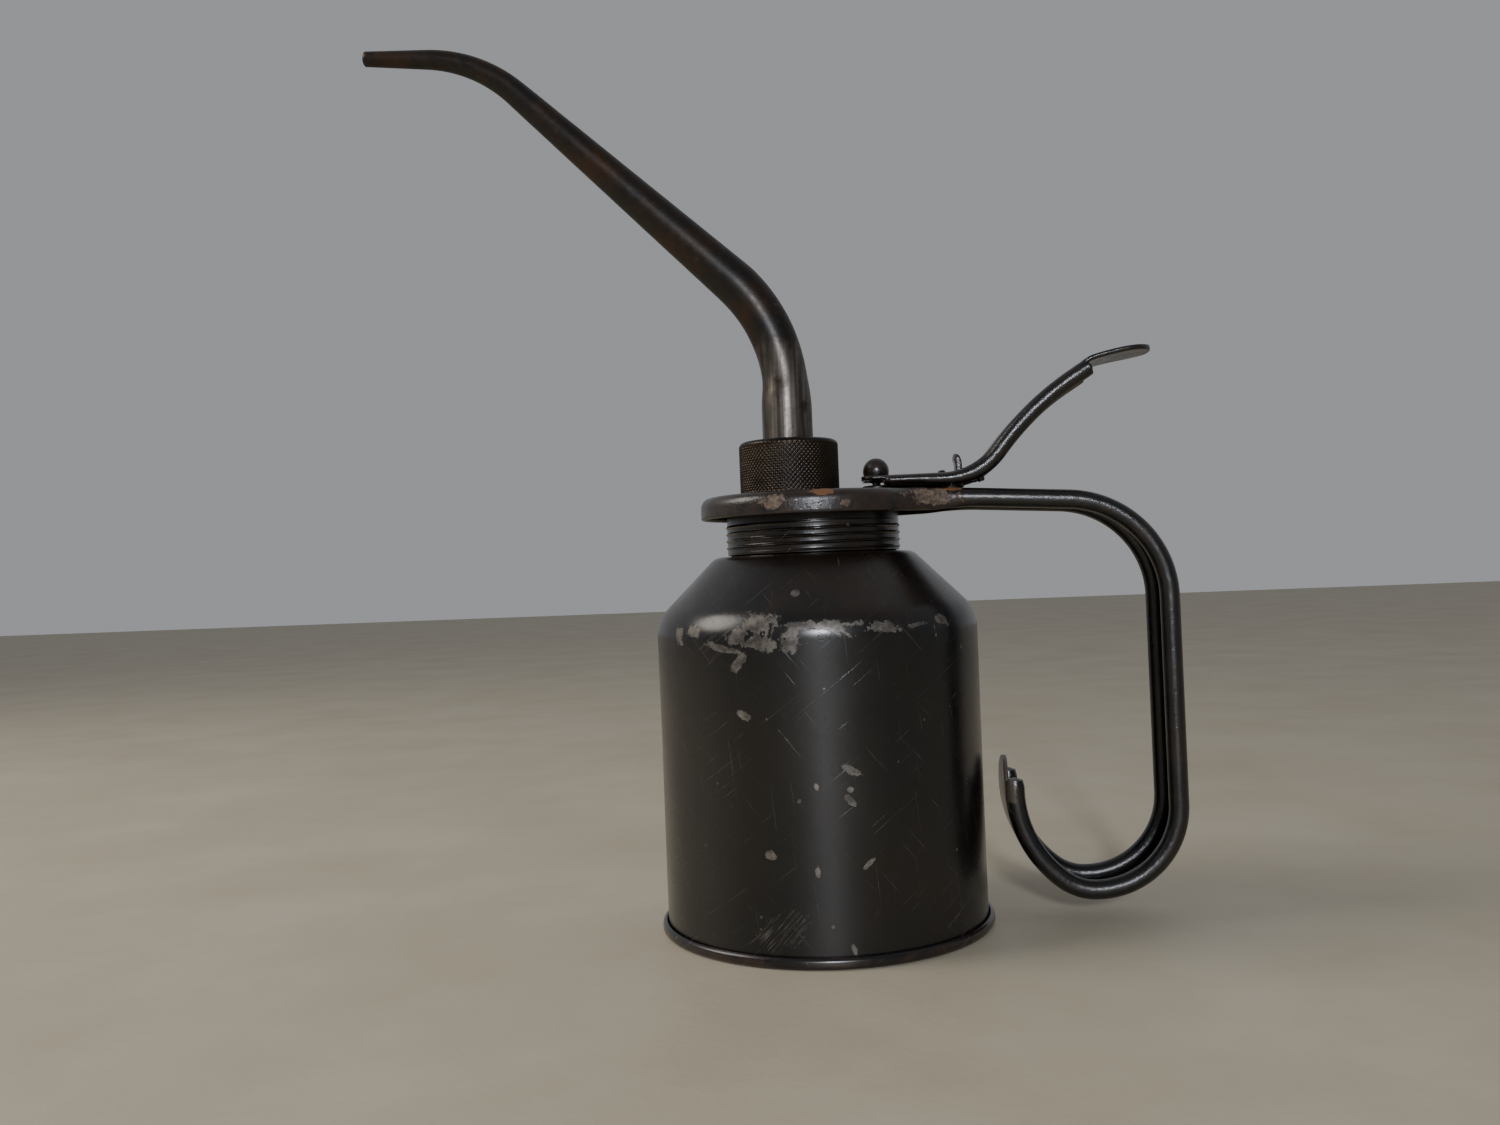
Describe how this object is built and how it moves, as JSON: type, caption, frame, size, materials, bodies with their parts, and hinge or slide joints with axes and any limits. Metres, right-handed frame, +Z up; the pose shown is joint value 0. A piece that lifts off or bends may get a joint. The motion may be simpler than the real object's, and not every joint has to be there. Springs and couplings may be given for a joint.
{
  "type": "thumb-pump oil can",
  "caption": "Sheet-steel oil can with a screw cap, J-shaped hand grip, rocking thumb lever that works a lift pump, and a long bent tapered spout.",
  "frame": {"origin": "the can's axis at the level of the surface it stands on, at the centre of the foot rim", "axes": "+Z up along the can's axis, +X from the can towards the hand grip (the spout leans towards -X), +Y completes the right-handed frame"},
  "size_m": [0.1883, 0.078, 0.2148],
  "materials": {
    "japan_black": "glossy black stoved japan enamel over sheet steel, oily, chipped to bare steel along the shoulder",
    "worn_black": "black japan worn brown on its edges, with tan and orange chips and old oil",
    "bronze_brown": "knurled brass darkened to bronze brown by oil",
    "aged_steel": "drawn steel tube with a dark brown oxide skin, bare grey near its foot",
    "pump_brass": "turned brass, oily",
    "bright_steel": "ground steel, oily",
    "gasket_fibre": "red vulcanised fibre sheet, oil-soaked",
    "cup_leather": "oil-soaked leather"
  },
  "bodies": {
    "can": {"can_body": "japan_black", "base_plate": "japan_black"},
    "cap": {"screw_cap": "japan_black", "cap_gasket": "gasket_fibre", "handle_plate": "worn_black", "fulcrum_hook": "worn_black", "fulcrum_rivet": "worn_black", "pump_head": "pump_brass", "head_gasket": "gasket_fibre", "pump_barrel": "pump_brass", "inlet_seat": "pump_brass", "suction_tube": "pump_brass", "gland_nut": "aged_steel", "gland_packing": "gasket_fibre", "spout_boss": "pump_brass", "pump_spring": "bright_steel", "outlet_spring": "bright_steel"},
    "lever": {"thumb_lever": "worn_black"},
    "plunger": {"plunger_rod": "bright_steel", "ball_knob": "worn_black", "piston": "pump_brass", "piston_cup": "cup_leather", "piston_nut": "pump_brass"},
    "inlet_valve": {"inlet_ball": "bright_steel"},
    "outlet_valve": {"outlet_ball": "bright_steel"},
    "nut": {"spout_nut": "bronze_brown"},
    "spout": {"spout_tube": "aged_steel", "spout_ferrule": "aged_steel", "spout_washer": "gasket_fibre"}
  },
  "joints": [
    {"name": "cap_unscrew", "type": "hinge", "parent": "can", "child": "cap", "pos_m": [0, 0, 0.092], "axis": [0, 0, 1], "continuous": true},
    {"name": "lever_rock", "type": "hinge", "parent": "cap", "child": "lever", "pos_m": [0.0365, 0, 0.101], "axis": [0, 1, 0], "range_deg": [0, 20], "stiffness_Nm_per_rad": 0.6, "springref_deg": -8.59},
    {"name": "plunger_lift", "type": "slide", "parent": "cap", "child": "plunger", "axis": [0, 0, 1], "range_m": [0, 0.0087], "deforming": ["pump_spring"]},
    {"name": "inlet_valve_lift", "type": "slide", "parent": "cap", "child": "inlet_valve", "axis": [0, 0, 1], "range_m": [0, 0.0008]},
    {"name": "outlet_valve_lift", "type": "slide", "parent": "cap", "child": "outlet_valve", "axis": [0, 0, 1], "range_m": [0, 0.0008], "deforming": ["outlet_spring"]},
    {"name": "nut_turn", "type": "hinge", "parent": "cap", "child": "nut", "pos_m": [-0.005, 0, 0.108], "axis": [0, 0, 1], "continuous": true},
    {"name": "spout_swivel", "type": "hinge", "parent": "cap", "child": "spout", "pos_m": [-0.005, 0, 0.112], "axis": [0, 0, 1], "continuous": true}
  ],
  "couplings": [
    {"joint": "plunger_lift", "follows": "lever_rock", "m_per_rad": 0.0245}
  ]
}
